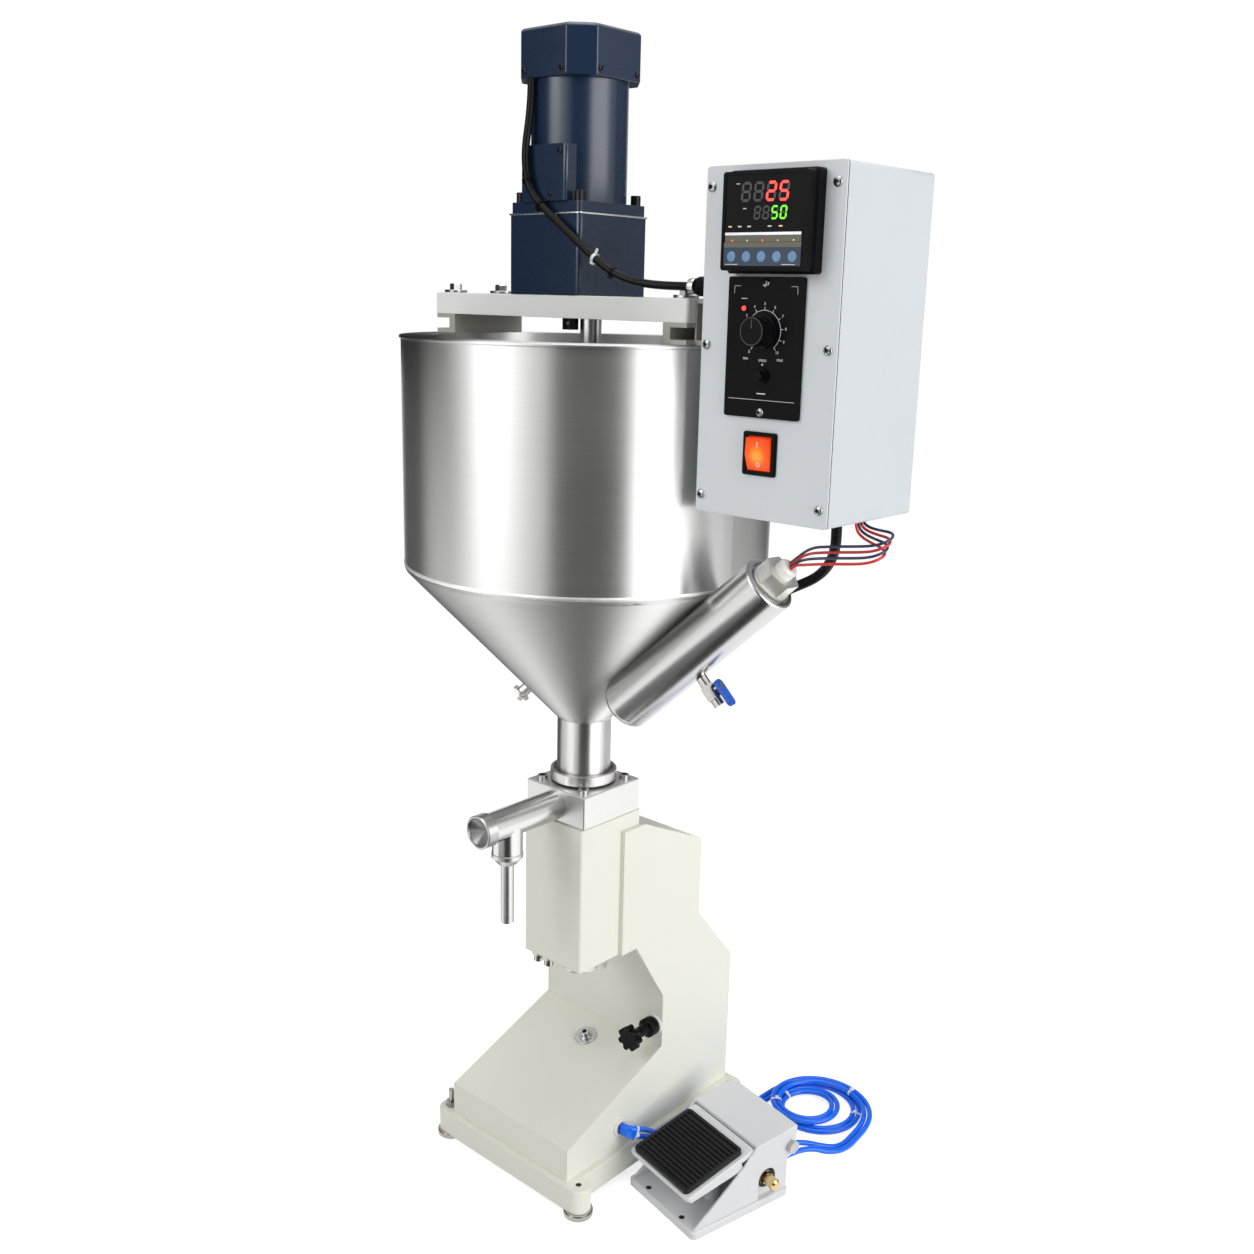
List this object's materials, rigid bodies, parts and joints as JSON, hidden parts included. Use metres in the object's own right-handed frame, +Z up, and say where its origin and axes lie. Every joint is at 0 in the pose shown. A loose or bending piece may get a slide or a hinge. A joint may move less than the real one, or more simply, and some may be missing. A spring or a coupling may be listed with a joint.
{
  "type": "piston paste filling machine",
  "caption": "Bench paste filler: heated steel hopper with geared mixer over a piston metering head with nozzle, control box and foot pedal on air hoses.",
  "frame": {"origin": "on the floor under the middle of the box around the machine, its hoses and leads left out", "axes": "+Z up, -Y the way the discharge tube points, +X towards the control box"},
  "size_m": [0.5032, 0.4983, 1.151],
  "materials": {
    "motor_blue": "satin",
    "body_cream": "satin",
    "arm_grey": "satin",
    "bracket_grey": "satin",
    "box_grey": "satin",
    "hopper_steel": "brushed",
    "block_steel": "satin",
    "tube_steel": "polished",
    "nickel": "satin",
    "pedal_alloy": "cast",
    "black_plastic": "satin",
    "bakelite": "gloss",
    "key_blue": "satin",
    "lamp_orange": "gloss",
    "grommet_cream": "satin",
    "ceramic": "glazed",
    "lever_blue": "gloss",
    "hose_blue": "gloss",
    "lead_black": "matt",
    "lead_red": "satin",
    "black_rubber": "matt",
    "brass": "satin",
    "spring_steel": "satin"
  },
  "bodies": {
    "machine": {"levelling_feet": "nickel", "base_plate": "body_cream", "column_casing": "body_cream", "hose_grommet": "grommet_cream", "head_casing": "body_cream", "cylinder_end_cap": "nickel", "air_cylinder": "pedal_alloy", "metering_cylinder": "block_steel", "air_fittings": "nickel", "valve_block": "block_steel", "inlet_spring": "spring_steel", "discharge_tube": "tube_steel", "discharge_cap": "tube_steel", "outlet_spring": "spring_steel", "nozzle": "tube_steel", "union_seal": "black_rubber", "union_ring": "tube_steel", "hopper_vessel": "hopper_steel", "hopper_jacket": "hopper_steel", "heater_tube": "hopper_steel", "jacket_plugs": "nickel", "ceramic_insulator": "ceramic", "drain_valve": "nickel", "arm_brackets": "bracket_grey", "mixer_arm": "arm_grey", "gearbox": "motor_blue", "motor_body": "motor_blue", "fan_cover": "motor_blue", "capacitor_cover": "motor_blue", "control_box": "box_grey", "front_panel": "box_grey", "cable_gland": "black_plastic", "temperature_controller": "black_plastic", "speed_panel": "black_plastic", "rocker_frame": "black_plastic", "pedal_housing": "pedal_alloy", "pedal_pin": "tube_steel", "pedal_spring": "spring_steel", "silencer": "brass", "motor_lead": "lead_black", "heater_leads": "lead_red", "air_hoses": "hose_blue"},
    "mixer": {"mixer_shaft": "tube_steel"},
    "piston": {"piston_rod": "tube_steel", "metering_piston": "block_steel"},
    "inlet_valve": {"inlet_poppet": "tube_steel"},
    "outlet_valve": {"outlet_poppet": "tube_steel"},
    "treadle": {"pedal_plate": "pedal_alloy", "pedal_pad": "black_rubber"},
    "plunger": {"pedal_plunger": "tube_steel"},
    "speed_dial": {"speed_knob": "bakelite"},
    "switch_rocker": {"rocker": "lamp_orange"},
    "reset": {"reset_button": "bakelite"},
    "regulator": {"star_knob": "bakelite"},
    "drain_handle": {"drain_lever": "lever_blue"},
    "key_1": {"controller_key_1": "key_blue"},
    "key_2": {"controller_key_2": "key_blue"},
    "key_3": {"controller_key_3": "key_blue"},
    "key_4": {"controller_key_4": "key_blue"},
    "key_5": {"controller_key_5": "key_blue"}
  },
  "joints": [
    {"name": "mixer_spin", "type": "hinge", "parent": "machine", "child": "mixer", "pos_m": [-0.06575, -0.01725, 0.924], "axis": [0, 0, 1], "continuous": true},
    {"name": "piston_stroke", "type": "slide", "parent": "machine", "child": "piston", "axis": [0, 0, -1], "range_m": [0, 0.04]},
    {"name": "inlet_lift", "type": "slide", "parent": "machine", "child": "inlet_valve", "axis": [0, 0, -1], "range_m": [0, 0.006], "stiffness_N_per_m": 200, "springref_m": -0.004, "deforming": ["inlet_spring"]},
    {"name": "outlet_lift", "type": "slide", "parent": "machine", "child": "outlet_valve", "axis": [0, 0, -1], "range_m": [0, 0.004], "stiffness_N_per_m": 200, "springref_m": -0.004, "deforming": ["outlet_spring"]},
    {"name": "pedal_press", "type": "hinge", "parent": "machine", "child": "treadle", "pos_m": [0.0648, 0.05722, 0.05], "axis": [0.9781, -0.2079, 0], "range_deg": [0, 12], "stiffness_Nm_per_rad": 4, "springref_deg": -8.59, "deforming": ["pedal_spring"]},
    {"name": "plunger_press", "type": "slide", "parent": "machine", "child": "plunger", "axis": [0, 0, -1], "range_m": [0, 0.005]},
    {"name": "speed_turn", "type": "hinge", "parent": "machine", "child": "speed_dial", "pos_m": [0.17615, -0.07425, 0.9005], "axis": [0, -1, 0], "range_deg": [-135, 135]},
    {"name": "rocker_tip", "type": "hinge", "parent": "machine", "child": "switch_rocker", "pos_m": [0.17615, -0.07425, 0.805], "axis": [-1, 0, 0], "range_deg": [0, 16]},
    {"name": "reset_press", "type": "slide", "parent": "machine", "child": "reset", "axis": [0, 1, 0], "range_m": [0, 0.003], "stiffness_N_per_m": 300, "springref_m": -0.002},
    {"name": "regulator_turn", "type": "hinge", "parent": "machine", "child": "regulator", "pos_m": [-0.03175, 0.06675, 0.15], "axis": [0, -1, 0], "range_deg": [-720, 720]},
    {"name": "drain_turn", "type": "hinge", "parent": "machine", "child": "drain_handle", "pos_m": [0.11281, -0.04302, 0.58551], "axis": [0.7264, 0.0782, 0.6828], "range_deg": [0, 90]},
    {"name": "key_1_press", "type": "slide", "parent": "machine", "child": "key_1", "axis": [0, 1, 0], "range_m": [0, 0.0008], "stiffness_N_per_m": 300, "springref_m": -0.001},
    {"name": "key_2_press", "type": "slide", "parent": "machine", "child": "key_2", "axis": [0, 1, 0], "range_m": [0, 0.0008], "stiffness_N_per_m": 300, "springref_m": -0.001},
    {"name": "key_3_press", "type": "slide", "parent": "machine", "child": "key_3", "axis": [0, 1, 0], "range_m": [0, 0.0008], "stiffness_N_per_m": 300, "springref_m": -0.001},
    {"name": "key_4_press", "type": "slide", "parent": "machine", "child": "key_4", "axis": [0, 1, 0], "range_m": [0, 0.0008], "stiffness_N_per_m": 300, "springref_m": -0.001},
    {"name": "key_5_press", "type": "slide", "parent": "machine", "child": "key_5", "axis": [0, 1, 0], "range_m": [0, 0.0008], "stiffness_N_per_m": 300, "springref_m": -0.001}
  ],
  "couplings": [
    {"joint": "plunger_press", "follows": "pedal_press", "m_per_rad": 0.0205}
  ]
}
